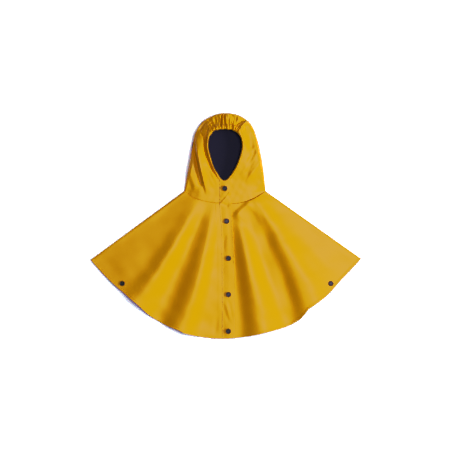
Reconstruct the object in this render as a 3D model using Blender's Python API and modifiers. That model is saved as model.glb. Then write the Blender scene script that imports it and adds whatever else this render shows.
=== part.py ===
"""Child's rain cape with a gathered hood, laid flat on its back.

+X points to the wearer's left, +Y to the top of the hood and +Z away from the surface that the
cape lies on. The origin is on that surface, under the middle of the cape's outline. Sizes and
tables are in millimetres, and MM turns them into metres where a mesh is made.

The fronts are laid out by angle and radius about the point where the two shoulder lines meet:
angle 0 points down the front, and negative angles are on the wearer's right.
"""
import math

import bpy
import numpy as np
from mathutils import Vector

MM = 0.001

# Cloth
WALL = 1.2
GAP = 0.3
FRONT_LOW = WALL + GAP + WALL  # outer side of a front where it lies on the back

# Cape
APEX = (-5.0, 193.7)
RIGHT_SHOULDER = -53.7
LEFT_SHOULDER = 54.7
CENTRE_FRONT = 1.45
SHOULDER_ROUND = 7.0
BACK_HEM_INSET = 4.0
BACK_NECK_Y = 105.0
BACK_HEM_POINTS = 49
NECK_GAP = 0.5  # wider than the others, as this curved seam has unlike steps on its two sides
FOLD_STEPS = 3  # columns of a front between two lines of the fold table
FRONT_ROWS = 20
FOLD_FULL = 0.8  # share of the way from neck to hem

# angle, radius
NECK = (
    (-53.7, 148.0), (-42.8, 143.0), (-35.0, 137.5), (-27.5, 132.5), (-8.0, 125.5),
    (0.0, 125.5), (9.6, 127.5), (19.6, 131.5), (27.0, 135.0), (35.0, 139.0),
    (42.0, 142.7), (48.5, 147.0), (54.7, 153.0),
)
# angle, radius
HEM = (
    (-53.7, 497.8), (-45.9, 495.8), (-38.7, 495.6), (-31.8, 500.4), (-25.1, 514.7),
    (-18.6, 522.2), (-15.2, 524.0), (-12.6, 529.0), (-1.3, 532.6), (7.9, 530.0),
    (13.8, 527.7), (21.2, 531.0), (25.5, 526.4), (28.4, 515.7), (30.2, 509.5),
    (37.5, 507.0), (45.6, 500.4), (54.7, 504.6),
)
# angle at the neck, angle at the hem, sideways bow halfway, height over the surface at the hem
FOLDS = (
    (-53.7, -53.7, 0.0, 3.0),  # right shoulder
    (-47.0, -43.5, 1.6, 9.0),
    (-41.5, -38.4, 3.0, 12.5),
    (-33.4, -33.9, 2.0, 23.0),
    (-30.2, -32.2, 1.0, 24.5),  # first ridge
    (-27.3, -27.8, 0.5, 14.5),
    (-24.3, -23.3, 0.0, 3.8),  # first valley
    (-21.4, -21.6, 0.4, 4.4),
    (-13.6, -16.2, 1.2, 19.6),
    (-10.6, -14.2, 1.2, 21.0),  # second ridge
    (-8.4, -11.6, 0.8, 13.5),
    (-6.3, -8.8, 0.4, 6.2),
    (-3.5, -5.0, 0.0, 4.2),
    (CENTRE_FRONT, CENTRE_FRONT, 0.0, 3.5),  # under the placket
    (7.4, 5.3, 0.0, 3.5),
    (12.6, 11.2, 0.0, 20.3),
    (14.8, 13.2, 0.0, 22.0),  # third ridge
    (17.5, 17.0, 0.0, 14.5),
    (21.3, 21.4, 0.0, 3.8),  # second valley
    (32.3, 22.8, 0.0, 4.6),
    (37.4, 29.0, 0.0, 20.4),
    (39.8, 32.6, 0.0, 23.0),  # fourth ridge
    (44.0, 38.0, 0.0, 14.5),
    (48.5, 45.5, 0.0, 7.0),
    (54.7, 54.7, 0.0, 3.0),  # left shoulder
)

# Hood outline from the right neck corner over the crown to the left neck corner: x, y
HOOD_OUTLINE = (
    (-124.3, 106.1), (-114.3, 161.2), (-107.1, 198.2), (-102.0, 228.2), (-97.5, 250.0),
    (-92.5, 274.7), (-83.7, 293.0), (-71.7, 309.8), (-58.5, 321.0), (-30.3, 334.6),
    (-7.2, 338.9), (15.6, 338.0), (38.7, 332.9), (60.3, 320.6), (73.8, 308.3),
    (84.6, 290.0), (92.1, 268.4), (99.9, 240.8), (109.5, 193.1), (114.6, 157.7),
    (119.9, 105.3),
)
CROWN_SEAM_X = (-58.5, 60.3)  # where the gusset's seams cross the outline
CROWN_WRAP = 18.0  # how far the side panels reach round the crown, down those seams
ROUND_ANGLES = (30.0, 60.0, 90.0)  # steps round the hood's sides
HOOD_COLUMNS = 9
CHIN_STEPS = 6
# y on the outline, depth of the rounded side, half its height
HOOD_SIDE = (
    (104.0, 4.0, 2.7), (130.0, 8.0, 6.0), (165.0, 11.0, 9.5), (230.0, 13.0, 12.0),
    (300.0, 13.0, 12.0), (340.0, 14.0, 12.0),
)
# y, height of the hood's front over the surface, well inside its outline
HOOD_TOP = (
    (40.0, 10.5), (68.0, 11.5), (100.0, 13.0), (137.0, 16.0), (180.0, 24.0),
    (230.0, 30.0), (280.0, 34.0), (340.0, 34.0),
)
HOOD_RISE = 55.0  # distance from the outline at which that height is reached
# half width, depth, then the points of each crease pressed into the hood
HOOD_CREASES = (
    (6.0, 4.0, ((-62.0, 262.0), (-65.0, 232.0), (-56.0, 202.0), (-43.0, 175.0))),
    (7.0, 4.5, ((-94.0, 246.0), (-85.0, 200.0), (-79.0, 163.0), (-70.0, 128.0))),
    (9.0, 3.0, ((72.0, 262.0), (78.0, 215.0), (66.0, 165.0))),
)

# Face opening, clockwise from its lowest point: x, y
OPENING = (
    (-3.6, 136.7), (-13.8, 141.8), (-24.3, 157.7), (-35.1, 175.4), (-43.8, 201.8),
    (-51.5, 232.0), (-51.0, 256.0), (-45.0, 273.0), (-32.0, 285.0), (-5.7, 288.5),
    (20.0, 286.5), (36.0, 276.0), (45.5, 262.0), (48.6, 244.0), (47.0, 224.6),
    (39.0, 198.2), (30.3, 177.2), (17.7, 156.2), (7.2, 141.8),
)
CASING_SIDE_WIDTH = 6.0
CASING_TOP_WIDTH = 16.0
CASING_WIDENS = (258.0, 284.0)  # y on the opening between which it grows to its top width
CASING_WALL = 1.6
# share of the width from the face edge, height over the hood
CASING_PROFILE = ((0.0, -3.0), (0.12, -0.6), (0.38, 1.2), (0.7, 1.5), (1.0, 0.0))
CASING_RISE_LENGTH = 30.0
RING_SIDE_STEPS, RING_TOP_STEPS = 14, 44
RIGHT_SEAM_SHARE, LEFT_SEAM_SHARE = 0.403, 0.59  # share of the opening, at the gusset's seams
BACK_SEAM_X = (-36.0, 34.0)  # gusset's seams at the back neck

# Gathers on the elastic over the forehead
GATHER_COUNT = 13
GATHER_HEIGHT = 1.5
GATHER_X = (-49.0, 39.0)
GATHER_Y = 294.0
GATHER_REACH = 13.0

# Placket: y, x of the sewn edge, x of the free edge
PLACKET = (
    (140.0, -18.6, 14.6), (80.0, -18.3, 15.0), (36.0, -17.0, 16.5), (-8.0, -12.6, 20.7),
    (-95.0, -11.2, 25.0), (-180.0, -10.9, 28.0), (-345.0, -10.8, 31.5),
)
PLACKET_WALL = 2.0
PLACKET_ROWS = 34
PLACKET_COLUMNS = 4

# Snap caps
SNAP_RADIUS = 7.5
# radius, height of the cap's outer face, from its middle to its foot
SNAP_PROFILE = ((0.0, 1.7), (4.4, 1.6), (5.3, 2.3), (6.7, 2.1), (7.5, 1.0), (7.3, 0.0))
SNAP_STEPS = 20
FRONT_SNAPS = ((-2.7, 112.7), (2.7, 14.6), (8.4, -96.8), (8.4, -205.7), (7.8, -316.1))
SIDE_SNAPS = {"right": (-310.2, -172.4), "left": (315.3, -172.4)}

YELLOW = (0.693, 0.402, 0.026, 1.0)
NAVY = (0.018, 0.022, 0.034, 1.0)


# Curves and heights

def smooth(share):
    share = np.clip(share, 0.0, 1.0)
    return share * share * (3.0 - 2.0 * share)


def level(knots, values, x):
    """A curve through the knots that never swings past them."""
    knots, values, x = np.asarray(knots), np.asarray(values), np.asarray(x)
    steps = np.diff(knots)
    slopes = np.diff(values) / steps
    product = slopes[:-1] * slopes[1:]
    total = slopes[:-1] + slopes[1:]
    inner = np.where(product > 0, 2 * product / np.where(total == 0, 1, total), 0.0)
    tangents = np.concatenate([[slopes[0]], inner, [slopes[-1]]])
    x = np.clip(x, knots[0], knots[-1])
    i = np.clip(np.searchsorted(knots, x) - 1, 0, len(knots) - 2)
    t = (x - knots[i]) / steps[i]
    start = values[i] * (1 + 2 * t) + tangents[i] * steps[i] * t
    end = values[i + 1] * (3 - 2 * t) + tangents[i + 1] * steps[i] * (t - 1)
    return start * (1 - t) ** 2 + end * t ** 2


def spline(points, shares, closed=False):
    """Points at the given shares of the length of a smooth curve."""
    points = np.array(points)
    if closed:
        ends = points[-1:], points[:2]
    else:
        ends = 2 * points[:1] - points[1:2], 2 * points[-1:] - points[-2:-1]
    p = np.concatenate([ends[0], points, ends[1]])
    t = np.linspace(0, 1, 24, endpoint=False)[:, None]
    spans = []
    for a, b, c, d in zip(p, p[1:], p[2:], p[3:]):
        spans.append(b + 0.5 * t * (c - a + t * (2 * a - 5 * b + 4 * c - d
                                                 + t * (3 * (b - c) + d - a))))
    fine = np.concatenate(spans + [p[-2:-1]])
    length = np.concatenate([[0], np.cumsum(np.linalg.norm(np.diff(fine, axis=0), axis=1))])
    at = np.asarray(shares) * length[-1]
    return np.stack([np.interp(at, length, fine[:, k]) for k in (0, 1)], axis=-1)


def nearest(x, y, path):
    """Distance from each point to a path, and the y of the place on it that is nearest."""
    x, y, path = np.asarray(x)[..., None], np.asarray(y)[..., None], np.asarray(path)
    ax, ay = path[:-1].T
    ux, uy = np.diff(path, axis=0).T
    along = np.clip(((x - ax) * ux + (y - ay) * uy) / (ux * ux + uy * uy), 0, 1)
    foot_y = ay + along * uy
    distance = np.hypot(x - ax - along * ux, y - foot_y)
    best = np.argmin(distance, axis=-1)[..., None]
    return (np.take_along_axis(distance, best, -1)[..., 0],
            np.take_along_axis(foot_y, best, -1)[..., 0])


def column(table, k):
    return [row[k] for row in table]


OUTLINE_PATH = spline(HOOD_OUTLINE, np.linspace(0, 1, 121))


def rounded(distance, radius):
    """0 at an edge, rising as a quarter circle to 1 at the given distance from it."""
    return np.sqrt(1 - (1 - np.clip(distance / radius, 0, 1)) ** 2)


def gathers(x, y):
    """Small waves across the elastic, fading away from it."""
    share = (x - GATHER_X[0]) / (GATHER_X[1] - GATHER_X[0])
    window = smooth(share * 8) * smooth((1 - share) * 8)
    reach = np.exp(-((y - GATHER_Y) / GATHER_REACH) ** 2)
    uneven = share + 0.011 * np.sin(17 * share) + 0.007 * np.sin(41 * share)
    return GATHER_HEIGHT * window * reach * np.cos(2 * math.pi * GATHER_COUNT * uneven)


def hood_height(x, y):
    distance, side_y = nearest(x, y, OUTLINE_PATH)
    depth = level(column(HOOD_SIDE, 0), column(HOOD_SIDE, 1), side_y)
    half = level(column(HOOD_SIDE, 0), column(HOOD_SIDE, 2), side_y)
    top = level(column(HOOD_TOP, 0), column(HOOD_TOP, 1), y)
    inside = smooth((distance - depth) / (HOOD_RISE - depth))
    z = half * (1 + rounded(distance, depth)) + (top - 2 * half) * inside + gathers(x, y)
    for half_width, press, path in HOOD_CREASES:
        z = z - press * np.exp(-(nearest(x, y, path)[0] / half_width) ** 2)
    return z


def polar(angle, radius):
    angle = np.radians(angle)
    return APEX[0] + radius * np.sin(angle), APEX[1] - radius * np.cos(angle)


def neck_radius(angle):
    return level(column(NECK, 0), column(NECK, 1), angle)


def hem_radius(angle):
    return level(column(HEM, 0), column(HEM, 1), angle)


def fold_angles(share):
    """Angle of each line of the fold table, a share of the way from neck to hem."""
    neck, hem, bow = (np.array(column(FOLDS, k)) for k in range(3))
    return neck + (hem - neck) * share + bow * 4 * share * (1 - share)


def fold_height(angle, share):
    """Height of the folds where an angle meets a share of the way from neck to hem."""
    angle, share = np.broadcast_arrays(angle, share)
    z = np.empty(angle.shape)
    for at in np.ndindex(angle.shape):
        z[at] = level(fold_angles(share[at]), column(FOLDS, 3), angle[at])
    return z


def cape_height(x, y):
    angle = np.degrees(np.arctan2(x - APEX[0], APEX[1] - y))
    radius = np.hypot(x - APEX[0], y - APEX[1])
    neck, hem = neck_radius(angle), hem_radius(angle)
    share = np.clip((radius - neck) / (hem - neck), 0, 1)
    at_neck = hood_height(*polar(angle, neck))
    folded = 1 - (1 - np.clip(share / FOLD_FULL, 0, 1)) ** 2
    z = at_neck + (fold_height(angle, share) - at_neck) * folded
    to_shoulder = np.minimum(angle - RIGHT_SHOULDER, LEFT_SHOULDER - angle)
    edge = rounded(radius * np.radians(np.clip(to_shoulder, 0, 90)), SHOULDER_ROUND)
    return FRONT_LOW + (z - FRONT_LOW) * edge


def front_height(x, y):
    """Height of whatever lies under the placket: the hood above the neck, the cape below."""
    angle = np.degrees(np.arctan2(x - APEX[0], APEX[1] - y))
    on_cape = np.hypot(x - APEX[0], y - APEX[1]) > neck_radius(angle)
    return np.where(on_cape, cape_height(x, y), hood_height(x, y))


# Meshes

def material(name, color, roughness):
    made = bpy.data.materials.new(name)
    made.use_nodes = True
    shader = made.node_tree.nodes["Principled BSDF"]
    shader.inputs["Base Color"].default_value = color
    shader.inputs["Roughness"].default_value = roughness
    shader.inputs["Metallic"].default_value = 0.0
    made.diffuse_color = color
    return made


def add(name, mesh, finish):
    mesh.materials.append(finish)
    piece = bpy.data.objects.new(name, mesh)
    bpy.data.collections["rain_cape"].objects.link(piece)
    return piece


def wall(name, grid, finish, thickness=WALL, ring=False):
    """A sheet whose outer side runs through a grid of points, thickened inwards."""
    rows, columns = grid.shape[:2]
    faces = []
    for r in range(rows if ring else rows - 1):
        below = (r + 1) % rows
        for c in range(columns - 1):
            faces.append((r * columns + c, below * columns + c,
                          below * columns + c + 1, r * columns + c + 1))
    mesh = bpy.data.meshes.new(name)
    mesh.from_pydata((grid.reshape(-1, 3) * MM).tolist(), [], faces)
    mesh.shade_smooth()
    piece = add(name, mesh, finish)
    solid = piece.modifiers.new("wall", "SOLIDIFY")
    solid.thickness = thickness * MM
    solid.offset = -1.0
    return piece


def raised(plan, height):
    """Points of a plan grid, lifted to the height that a function gives for them."""
    return np.concatenate([plan, height(plan[..., 0], plan[..., 1])[..., None]], axis=-1)


def front(name, side, finish):
    """One front, its columns along the lines of the fold table."""
    shares = np.linspace(0, 1, FRONT_ROWS)[:, None]
    lines = np.array([fold_angles(share) for share in shares[:, 0]])
    lines = lines[:, (lines[0] - CENTRE_FRONT) * side >= 0]
    stations = np.arange(lines.shape[1])
    between = np.linspace(0, stations[-1], stations[-1] * FOLD_STEPS + 1)
    angle = np.array([np.interp(between, stations, row) for row in lines])
    neck = neck_radius(angle) + NECK_GAP
    radius = neck + (hem_radius(angle) - neck) * shares
    plan = np.stack(polar(angle, radius), axis=-1)
    plan[:, 0 if side > 0 else -1, 0] += side * GAP / 2
    return wall(name, raised(plan, cape_height), finish)


def back(name, finish):
    """The flat back, a filled outline just inside the fronts' hem."""
    angles = np.linspace(RIGHT_SHOULDER, LEFT_SHOULDER, BACK_HEM_POINTS)
    hem = np.stack(polar(angles, hem_radius(angles) - BACK_HEM_INSET), axis=-1)
    neck_drop = APEX[1] - BACK_NECK_Y + GAP
    corners = [polar(angle, neck_drop / math.cos(math.radians(angle)))
               for angle in (LEFT_SHOULDER, RIGHT_SHOULDER)]
    outline = list(hem) + corners
    curve = bpy.data.curves.new(name, "CURVE")
    curve.dimensions = "2D"
    curve.fill_mode = "BOTH"
    curve.extrude = WALL / 2 * MM
    edge = curve.splines.new("POLY")
    edge.points.add(len(outline) - 1)
    for point, (x, y) in zip(edge.points, outline):
        point.co = (x * MM, y * MM, 0.0, 1.0)
    edge.use_cyclic_u = True
    piece = add(name, curve, finish)
    piece.location.z = WALL / 2 * MM
    return piece


def wrapped(inner, outline, back_edge, neck_side=None):
    """Grid of a hood piece, each row from its front edge over the outline to its back edge.

    neck_side gives the first row's plan from the outline, 0, to the front edge, 1.
    """
    rows = []
    for v, e, o, b in zip(np.linspace(0, 1, len(inner)), inner, outline, back_edge):
        depth = level(column(HOOD_SIDE, 0), column(HOOD_SIDE, 1), o[1])
        half = level(column(HOOD_SIDE, 0), column(HOOD_SIDE, 2), o[1])
        width = np.linalg.norm(e - o)
        round_steps = depth * (1 - np.cos(np.radians(ROUND_ANGLES)))
        flat_steps = np.linspace(depth, width, HOOD_COLUMNS + 1)[1:]
        u = np.concatenate([[0.0], round_steps, flat_steps])[::-1, None] / width
        plan = o + (e - o) * u
        if neck_side is not None:
            plan += (1 - v) * (neck_side(u[:, 0]) - outline[0] - (inner[0] - outline[0]) * u)
        front_part = raised(plan, hood_height)
        front_part[-1, 2] = half
        inward = (b - o) / np.linalg.norm(b - o)
        under = [(*(o + inward * step), half * (1 - rounded(step, depth)))
                 for step in round_steps]
        rows.append(np.concatenate([front_part, under, [(*b, 0.0)]]))
    return np.array(rows)


def outline_share(x):
    return np.interp(x, OUTLINE_PATH[:, 0], np.linspace(0, 1, len(OUTLINE_PATH)))


def ring_shares():
    """Places round the face opening, close together where it is gathered."""
    side = np.linspace(0, RIGHT_SEAM_SHARE, RING_SIDE_STEPS, endpoint=False)
    top = np.linspace(RIGHT_SEAM_SHARE, LEFT_SEAM_SHARE, RING_TOP_STEPS, endpoint=False)
    other = np.linspace(LEFT_SEAM_SHARE, 1, RING_SIDE_STEPS + 1)
    return np.concatenate([side, top, other])


def casing_edges(gap=0.0):
    """The opening, the casing's seam round it, and how wide the casing is at each place."""
    shares = ring_shares()
    opening = spline(OPENING, shares, closed=True)
    ahead = spline(OPENING, (shares + 0.002) % 1.0, closed=True)
    behind = spline(OPENING, (shares - 0.002) % 1.0, closed=True)
    along = ahead - behind
    outward = np.stack([-along[:, 1], along[:, 0]], axis=-1)
    outward /= np.linalg.norm(outward, axis=1)[:, None]
    low, high = CASING_WIDENS
    growth = smooth((opening[:, 1] - low) / (high - low))
    width = CASING_SIDE_WIDTH + (CASING_TOP_WIDTH - CASING_SIDE_WIDTH) * growth
    return opening, opening + outward * (width + gap)[:, None]


def hood_side(name, side, finish):
    """A hood panel, from the centre front and the casing round to the back seam."""
    seam = casing_edges(GAP)[1]
    shoulder, corner_x, crown_x, back_x = (
        (RIGHT_SHOULDER, HOOD_OUTLINE[0][0], CROWN_SEAM_X[0], BACK_SEAM_X[0]) if side < 0 else
        (LEFT_SHOULDER, HOOD_OUTLINE[-1][0], CROWN_SEAM_X[1], BACK_SEAM_X[1]))
    beside_face = seam[:RING_SIDE_STEPS + 1] if side < 0 else seam[:-RING_SIDE_STEPS - 2:-1]
    beside_face = beside_face + (side * GAP / 2, 0.0)
    neck = np.array(polar(CENTRE_FRONT, neck_radius(CENTRE_FRONT))) + (side * GAP / 2, 0.0)
    chin = neck + (beside_face[0] - neck) * np.linspace(0, 1, CHIN_STEPS, endpoint=False)[:, None]
    inner = np.concatenate([chin, beside_face])
    inner[-1, 0] += side * GAP
    shares = np.linspace(outline_share(corner_x), outline_share(crown_x), len(inner))
    outline = spline(HOOD_OUTLINE, shares)
    outline[-1, 0] += side * GAP
    back_neck = np.array((back_x + side * GAP, BACK_NECK_Y))
    down_seam = back_neck - outline[-1]
    crown_end = outline[-1] + down_seam * CROWN_WRAP / np.linalg.norm(down_seam)
    back_edge = back_neck + (crown_end - back_neck) * np.linspace(0, 1, len(inner))[:, None]

    def neck_side(u):
        angle = shoulder + (CENTRE_FRONT - shoulder) * u
        plan = np.stack(polar(angle, neck_radius(angle)), axis=-1)
        plan[:, 0] += side * GAP / 2 * u
        return plan

    grid = wrapped(inner, outline, back_edge, neck_side)
    return wall(name, grid if side < 0 else grid[::-1], finish)


def hood_gusset(name, finish):
    """The strip from the gathered forehead over the crown to the back neck."""
    inner = casing_edges(GAP)[1][RING_SIDE_STEPS:RING_SIDE_STEPS + RING_TOP_STEPS + 1]
    ends = [outline_share(x) for x in CROWN_SEAM_X]
    outline = spline(HOOD_OUTLINE, np.linspace(*ends, len(inner)))
    back_edge = np.stack([np.linspace(*BACK_SEAM_X, len(inner)),
                          np.full(len(inner), BACK_NECK_Y)], axis=-1)
    return wall(name, wrapped(inner, outline, back_edge), finish)


def casing(name, finish):
    """The band round the face opening, rounded up and turned down at the face."""
    opening, seam = casing_edges()
    opening, seam = opening[:-1, None], seam[:-1, None]
    across = np.array(column(CASING_PROFILE, 0))[None, :, None]
    grid = raised(opening + (seam - opening) * across, hood_height)
    above_placket = smooth((opening[..., 1] - PLACKET[0][0]) / CASING_RISE_LENGTH)
    lift = np.array(column(CASING_PROFILE, 1))
    grid[..., 2] += np.where(lift > 0, lift * above_placket, lift)
    return wall(name, grid, finish, CASING_WALL, ring=True)


def placket(name, finish):
    """The strip over both fronts, made from the surface under it, moved out."""
    low_face = spline(OPENING, np.linspace(-0.12, 0.12, 41) % 1.0, closed=True)[::-1]
    angles = np.linspace(-8, 8, 33)
    hem = np.stack(polar(angles, hem_radius(angles)), axis=-1)
    ys = column(PLACKET, 0)[::-1]
    edges = [column(PLACKET, k)[::-1] for k in (1, 2)]
    across = np.linspace(0, 1, PLACKET_COLUMNS + 1)

    def x_at(y):
        sewn, free = (level(ys, edge, y) for edge in edges)
        return sewn + (free - sewn) * across

    top = np.interp(x_at(PLACKET[0][0]), low_face[:, 0], low_face[:, 1]) - GAP
    bottom = np.interp(x_at(PLACKET[-1][0]), hem[:, 0], hem[:, 1])
    y = top + (bottom - top) * np.linspace(0, 1, PLACKET_ROWS)[:, None]
    plan = np.stack([x_at(y), y], axis=-1)
    grid = raised(plan, front_height)
    grid[..., 2] += GAP + PLACKET_WALL
    return wall(name, grid, finish, PLACKET_WALL)


def snap(name, place, height, profile):
    """A snap cap, seated square on the surface that a height function gives."""
    turns = np.linspace(0, 2 * math.pi, 2 * SNAP_STEPS, endpoint=False)
    rim = SNAP_RADIUS * np.stack([np.cos(turns), np.sin(turns)], axis=-1)
    z = height(place[0] + rim[:, 0], place[1] + rim[:, 1])
    slope = 2 * (rim * z[:, None]).mean(axis=0) / SNAP_RADIUS ** 2
    seat_z = (z - rim @ slope).max()
    up = Vector((-slope[0], -slope[1], 1.0)).normalized()
    piece = bpy.data.objects.new(name, profile)
    bpy.data.collections["rain_cape"].objects.link(piece)
    piece.location = (Vector((*place, seat_z)) + up * GAP) * MM
    piece.rotation_mode = "QUATERNION"
    piece.rotation_quaternion = Vector((0, 0, 1)).rotation_difference(up)
    turn = piece.modifiers.new("turn", "SCREW")
    turn.angle = 2 * math.pi
    turn.steps = turn.render_steps = SNAP_STEPS
    turn.use_merge_vertices = True
    turn.merge_threshold = 1e-6
    return piece


def snap_profile(finish):
    points = [(r * MM, 0.0, z * MM) for r, z in SNAP_PROFILE] + [(0.0, 0.0, 0.0)]
    mesh = bpy.data.meshes.new("snap_profile")
    mesh.from_pydata(points, [(i, i + 1) for i in range(len(points) - 1)], [])
    mesh.materials.append(finish)
    return mesh


def placket_top(x, y):
    return front_height(x, y) + GAP + PLACKET_WALL


def main():
    for old in list(bpy.data.objects):
        bpy.data.objects.remove(old)
    bpy.context.scene.collection.children.link(bpy.data.collections.new("rain_cape"))
    cloth = material("yellow coated cloth", YELLOW, 0.42)
    cap = material("navy snap", NAVY, 0.35)
    back("back_panel", cloth)
    front("front_right", -1, cloth)
    front("front_left", 1, cloth)
    hood_side("hood_right", -1, cloth)
    hood_side("hood_left", 1, cloth)
    hood_gusset("hood_centre", cloth)
    casing("hood_casing", cloth)
    placket("placket", cloth)
    profile = snap_profile(cap)
    for number, place in enumerate(FRONT_SNAPS, 1):
        snap(f"snap_front_{number}", place, placket_top, profile)
    for side, place in SIDE_SNAPS.items():
        snap(f"snap_side_{side}", place, cape_height, profile)


main()
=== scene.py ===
"""Child's rain cape with a gathered hood, laid flat and seen from straight above.

+X points to the wearer's left, +Y to the top of the hood and +Z up. Sizes and tables are in
millimetres, and MM turns them into metres where a mesh is made. The fronts are laid out by
angle and radius about the point where the two shoulder lines meet: angle 0 points down the
front, and negative angles are on the wearer's right.
"""
import math

import bpy
import numpy as np
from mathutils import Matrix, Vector


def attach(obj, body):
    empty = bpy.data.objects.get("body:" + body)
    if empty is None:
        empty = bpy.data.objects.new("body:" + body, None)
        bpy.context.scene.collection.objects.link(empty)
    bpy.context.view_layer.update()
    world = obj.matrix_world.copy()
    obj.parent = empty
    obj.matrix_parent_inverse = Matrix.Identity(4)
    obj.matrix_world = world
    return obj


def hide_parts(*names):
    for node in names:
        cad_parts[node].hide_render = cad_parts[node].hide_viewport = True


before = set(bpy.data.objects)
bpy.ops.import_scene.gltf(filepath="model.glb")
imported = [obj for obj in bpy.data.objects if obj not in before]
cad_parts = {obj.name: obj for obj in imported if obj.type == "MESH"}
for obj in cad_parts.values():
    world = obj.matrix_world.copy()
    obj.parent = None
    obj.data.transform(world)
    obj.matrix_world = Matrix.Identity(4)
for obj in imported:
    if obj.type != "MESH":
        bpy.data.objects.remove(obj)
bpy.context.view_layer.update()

MM = 0.001

# Camera: straight above, with a long lens and a square view
VIEW_WIDTH_MM = 1356.0
CAMERA_LENS_MM, CAMERA_SENSOR_MM = 85.0, 36.0
CAMERA_PLACE = (0.9, 0.2)
CAMERA_FOCUS_Z = 10.0

# Lights and floor
SKY_STRENGTH = 0.07
LIGHT_DISTANCE = 3.6  # metres
# degrees from straight up, degrees round from +X, diameter in metres, share of full light
OVERHEAD = (5, 90, 2.4, 0.27)
VEIL = (13, 8, 1.2, 0.33)
KEY = (62, -7, 1.2, 0.38)
FLOOR_LIGHT = (30, 12, 1.6, 1.08)
FLOOR_HALF, FLOOR_Z = 3.0, -0.0006  # metres

# Scene value, graded value: deeper shade and a soft shoulder in the yellow
RED, GREEN = 0, 1
GRADE = {
    RED: ((0.0, 0.0), (0.05, 0.045), (0.2, 0.155), (0.31, 0.23), (0.42, 0.33), (0.5, 0.4),
          (0.6, 0.57), (0.68, 0.67), (0.83, 0.71), (0.91, 0.74), (1.0, 1.0)),
    GREEN: ((0.0, 0.0), (0.03, 0.027), (0.12, 0.07), (0.235, 0.122), (0.3, 0.185), (0.345, 0.275),
            (0.39, 0.37), (0.47, 0.4), (0.52, 0.42), (0.7, 0.62), (1.0, 1.0)),
}

# Curves and swells
SPAN_STEPS = 24  # points on each stretch of a curve
PATH_POINTS = 9  # on the path of a fold or a crease
OUTLINE_POINTS = 121
WAVE_COUNT, WAVE_SCALE = 7, 4.0
STEP_FADES = (0.25, 0.35)  # shares of a fold's path over which its start and its end fade
CREASE_FADE = 0.3  # the same at both ends of a crease

# Cloth
CLOTH = 0.9
FRONT_LOW = 2.7  # outer side of a front where it lies on the back
SEAM_HALF = 0.08
RIM_BULGE = 0.08  # share of the thickness by which a rim is rounded out

# Cape
APEX = (-5.0, 193.7)
RIGHT_SHOULDER = -53.7
LEFT_SHOULDER = 54.7
CENTRE_FRONT = 1.45
SHOULDER_ROUND = 7.0
SHOULDER_ROLL = 0.8
SHOULDER_ROLL_RISE, SHOULDER_ROLL_REACH = 4.5, 16.0
SHOULDER_CROWDING = 2.2  # power that draws a front's columns towards its shoulder
BACK_HEM_INSET = 4.0
BACK_NECK_Y = 105.0
BACK_COLUMNS, BACK_ROWS = 181, 90
FOLD_FULL = 0.8  # share of the way from neck to hem
FOLD_SOFTEN = (-11.0, -5.5, 0.0, 5.5, 11.0)  # sideways steps whose heights are averaged
FOLD_STEPS = 13
FRONT_ROWS = 140
HEM_ROWS = 24
HEM_SHARE = 0.968  # where the closer rows of the hem begin
HEM_DEPTH = 8.0
HEM_LIFT = 0.55
HEM_STEP = 1.6  # width of the step where the turned hem begins
STITCH_PULL = 0.55
STITCH_PULL_WIDTH = 1.1
STITCH_INSET = 6.3
NECK_SEAM_DEPTH, NECK_SEAM_WIDTH = 0.15, 1.6
SHOULDER_FADE, NECK_FADE = 20.0, 4.0  # the relief grows over these distances from each edge
CAPE_SWELLS = ((0.32, 46.0, 11), (1.3, 120.0, 12))  # height, length, seed

# angle, radius
NECK = (
    (-53.7, 148.0), (-42.8, 143.0), (-35.0, 137.5), (-27.5, 132.5), (-8.0, 125.5),
    (0.0, 125.5), (9.6, 127.5), (19.6, 131.5), (27.0, 135.0), (35.0, 139.0),
    (42.0, 142.7), (48.5, 147.0), (54.7, 153.0),
)
# angle, radius
HEM = (
    (-53.7, 497.8), (-45.9, 495.8), (-38.7, 495.6), (-31.8, 500.4), (-25.1, 514.7),
    (-18.6, 522.2), (-15.2, 524.0), (-12.6, 529.0), (-1.3, 532.6), (7.9, 530.0),
    (13.8, 527.7), (21.2, 531.0), (25.5, 526.4), (28.4, 515.7), (30.2, 509.5),
    (37.5, 507.0), (45.6, 500.4), (54.7, 504.6),
)
# angle at the neck, angle at the hem, sideways bow halfway, height over the surface at the hem
FOLDS = (
    (-53.7, -53.7, 0.0, 3.0),  # right shoulder
    (-47.0, -43.5, 1.6, 9.0),
    (-41.5, -38.4, 3.0, 12.5),
    (-33.4, -33.9, 2.0, 23.0),
    (-30.2, -32.2, 1.0, 24.5),  # first ridge
    (-27.3, -27.8, 0.5, 14.5),
    (-24.3, -23.3, 0.0, 3.8),  # first valley
    (-21.4, -21.6, 0.4, 4.4),
    (-13.6, -16.2, 1.2, 19.6),
    (-10.6, -14.2, 1.2, 21.0),  # second ridge
    (-8.4, -11.6, 0.8, 13.5),
    (-6.3, -8.8, 0.4, 6.2),
    (-3.5, -5.0, 0.0, 4.2),
    (CENTRE_FRONT, CENTRE_FRONT, 0.0, 3.5),  # under the placket
    (7.4, 5.3, 0.0, 3.5),
    (12.6, 11.2, 0.0, 20.3),
    (14.8, 13.2, 0.0, 22.0),  # third ridge
    (17.5, 17.0, 0.0, 14.5),
    (21.3, 21.4, 0.0, 3.8),  # second valley
    (32.3, 22.8, 0.0, 4.6),
    (37.4, 29.0, 0.0, 20.4),
    (39.8, 32.6, 0.0, 23.0),  # fourth ridge
    (44.0, 38.0, 0.0, 14.5),
    (48.5, 45.5, 0.0, 7.0),
    (54.7, 54.7, 0.0, 3.0),  # left shoulder
)

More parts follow.
